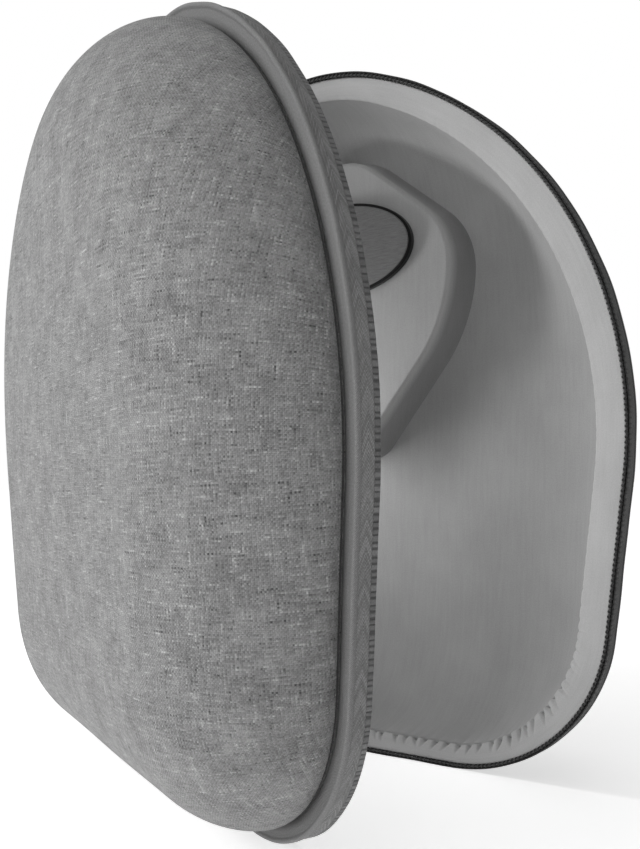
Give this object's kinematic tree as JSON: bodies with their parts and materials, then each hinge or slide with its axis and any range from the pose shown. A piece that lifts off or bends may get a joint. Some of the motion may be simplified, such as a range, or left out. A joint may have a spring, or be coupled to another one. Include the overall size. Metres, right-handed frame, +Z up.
{
  "type": "headphone carrying case",
  "caption": "Rounded hard-shell clamshell case for over-ear headphones, zipped round its rim, with a fabric hinge and a padded divider inside, standing open.",
  "frame": {"origin": "centre of the flat bottom of the back half's zipper tape, on the surface the case stands on", "axes": "+Z up; +Y along the depth of the back half, away from its mouth; the lid is hinged at the -X side"},
  "size_m": [0.2178, 0.1605, 0.222],
  "materials": {
    "outer_fabric": "woven melange, matte",
    "shell_foam": "closed-cell moulded foam",
    "knit_lining": "brushed knit",
    "rim_binding": "knit band, gathered",
    "zipper_tape": "herringbone woven tape",
    "zipper_coil": "nylon coil",
    "hinge_webbing": "woven strip",
    "patch_edge": "felt edge",
    "loop_fabric": "brushed loop pile",
    "slider_metal": "satin black"
  },
  "bodies": {
    "back": {"back_foam_shell": "shell_foam", "back_outer_fabric": "outer_fabric", "back_lining": "knit_lining", "back_rim_binding": "rim_binding", "back_zipper_tape": "zipper_tape", "back_zipper_coil": "zipper_coil", "back_zipper_stops": "zipper_coil", "back_hinge_cover_leaf": "hinge_webbing", "back_hinge_lining_leaf": "knit_lining", "divider_foam": "shell_foam", "divider_cover": "knit_lining", "loop_patch_backing": "patch_edge", "loop_patch": "loop_fabric"},
    "lid": {"lid_foam_shell": "shell_foam", "lid_outer_fabric": "outer_fabric", "lid_lining": "knit_lining", "lid_rim_binding": "rim_binding", "lid_zipper_tape": "zipper_tape", "lid_zipper_coil": "zipper_coil", "lid_zipper_stops": "zipper_coil", "lid_hinge_cover_leaf": "hinge_webbing", "lid_hinge_lining_leaf": "knit_lining"},
    "upper_slider": {"upper_slider": "slider_metal"},
    "upper_pull": {"upper_pull": "slider_metal"},
    "lower_slider": {"lower_slider": "slider_metal"},
    "lower_pull": {"lower_pull": "slider_metal"}
  },
  "joints": [
    {"name": "lid_hinge", "type": "hinge", "parent": "back", "child": "lid", "pos_m": [-0.10826, -0.0044, 0.1], "axis": [0, 0, -1], "range_deg": [-26.2, 153.8]},
    {"name": "upper_slider_run", "type": "hinge", "parent": "back", "child": "upper_slider", "pos_m": [0.01544, -0.0044, 0.10256], "axis": [0, 1, 0], "range_deg": [0, 40]},
    {"name": "upper_pull_swing", "type": "hinge", "parent": "upper_slider", "child": "upper_pull", "pos_m": [-0.10221, -0.0044, 0.14538], "axis": [0, 1, 0], "range_deg": [0, 150]},
    {"name": "lower_slider_run", "type": "hinge", "parent": "back", "child": "lower_slider", "pos_m": [-0.0523, -0.0044, 0.0507], "axis": [0, -1, 0], "range_deg": [0, 24]},
    {"name": "lower_pull_swing", "type": "hinge", "parent": "lower_slider", "child": "lower_pull", "pos_m": [-0.10431, -0.0044, 0.03773], "axis": [0, 1, 0], "range_deg": [-12, 150]}
  ]
}
